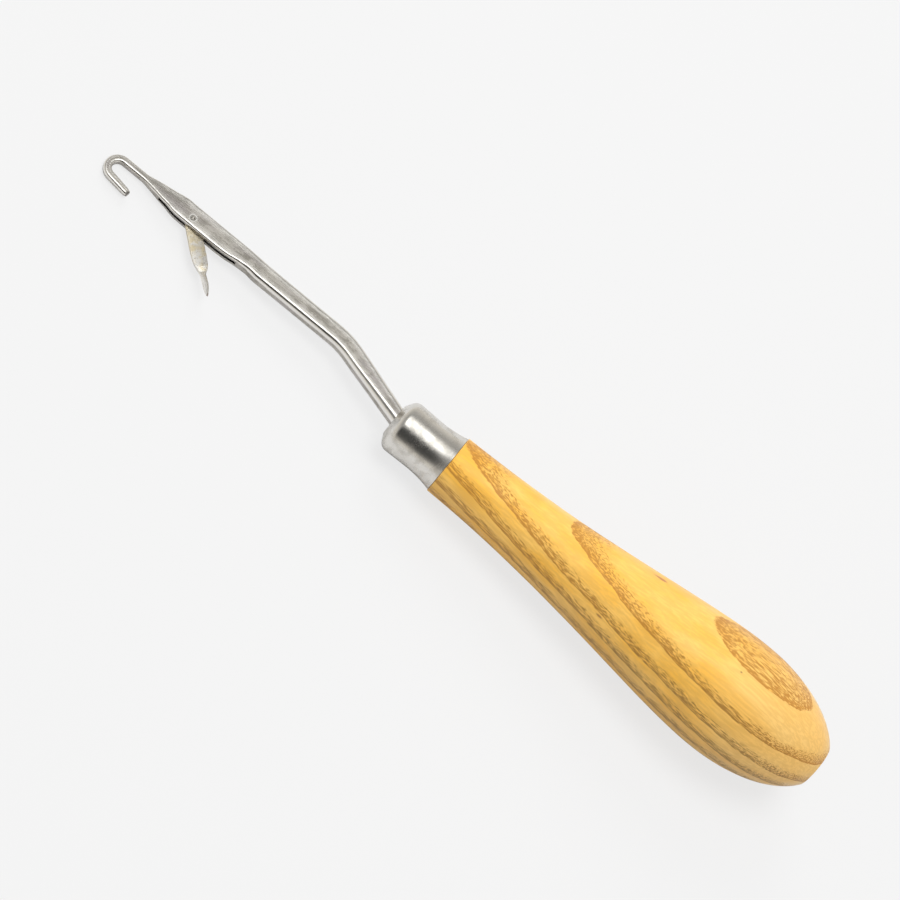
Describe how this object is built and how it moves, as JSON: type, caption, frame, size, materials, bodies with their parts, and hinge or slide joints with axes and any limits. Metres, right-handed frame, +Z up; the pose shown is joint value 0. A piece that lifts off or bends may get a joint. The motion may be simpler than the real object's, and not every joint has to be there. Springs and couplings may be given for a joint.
{
  "type": "latch hook",
  "caption": "Hand tool for pulling yarn through rug canvas: a turned wooden handle, a metal ferrule and a cranked steel shank ending in a hook with a swinging latch.",
  "frame": {"origin": "centre of the bounding box on the table: the tool lies as it rests, on the handle's swell and the hook's bend", "axes": "+X from the handle's flat end to the hook, +Y to the side that the hook and the latch open on, +Z up. The handle's axis dips 4.2 degrees towards the hook"},
  "size_m": [0.164, 0.0222, 0.0225],
  "materials": {
    "handle_wood": "clear-varnished ash, satin",
    "ferrule_plate": "nickel plate, worn to a satin gloss",
    "shank_steel": "polished steel, lightly stained",
    "latch_steel": "stamped steel, dull and lightly stained",
    "rivet_steel": "peened steel"
  },
  "bodies": {
    "tool": {"handle": "handle_wood", "ferrule": "ferrule_plate", "shank": "shank_steel", "latch_rivet": "rivet_steel"},
    "latch": {"latch": "latch_steel"}
  },
  "joints": [
    {"name": "latch_pivot", "type": "hinge", "parent": "tool", "child": "latch", "pos_m": [0.06364, -0.005, 0.00206], "axis": [-0.0733, 0, -0.9973], "range_deg": [-30.5, 116.5]}
  ]
}
